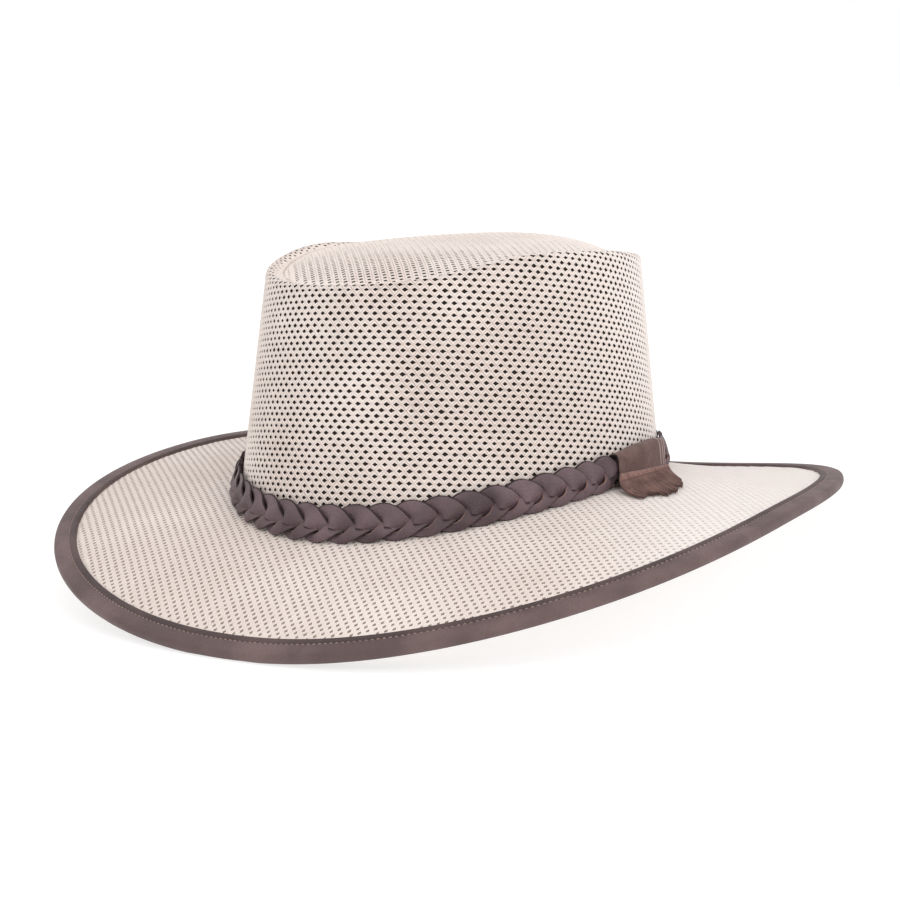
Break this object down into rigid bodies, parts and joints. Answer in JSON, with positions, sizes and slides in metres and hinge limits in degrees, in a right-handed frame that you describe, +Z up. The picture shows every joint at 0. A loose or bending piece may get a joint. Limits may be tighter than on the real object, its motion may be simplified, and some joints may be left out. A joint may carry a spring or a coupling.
{
  "type": "evaporative cooling sun hat",
  "caption": "Wide-brimmed sun hat of open cooling mesh with a tapered crown, leather-bound brim and plaited leather band with a fringed suede sleeve.",
  "frame": {"origin": "centre of the hat's footprint, on the surface that its front and back brim edges rest on", "axes": "+Z up, the hat's front towards -Y, the wearer's left towards +X"},
  "size_m": [0.3239, 0.3429, 0.1348],
  "materials": {
    "cloth": "matt open mesh",
    "binding_leather": "smooth satin leather",
    "band_leather": "smooth satin leather, raw tan edges",
    "suede": "matt suede"
  },
  "bodies": {
    "root": {"crown_wall": "cloth", "crown_tip": "cloth", "brim": "cloth", "brim_binding": "binding_leather", "hatband": "band_leather", "band_sleeve": "suede", "sleeve_fringe": "suede"}
  },
  "joints": []
}
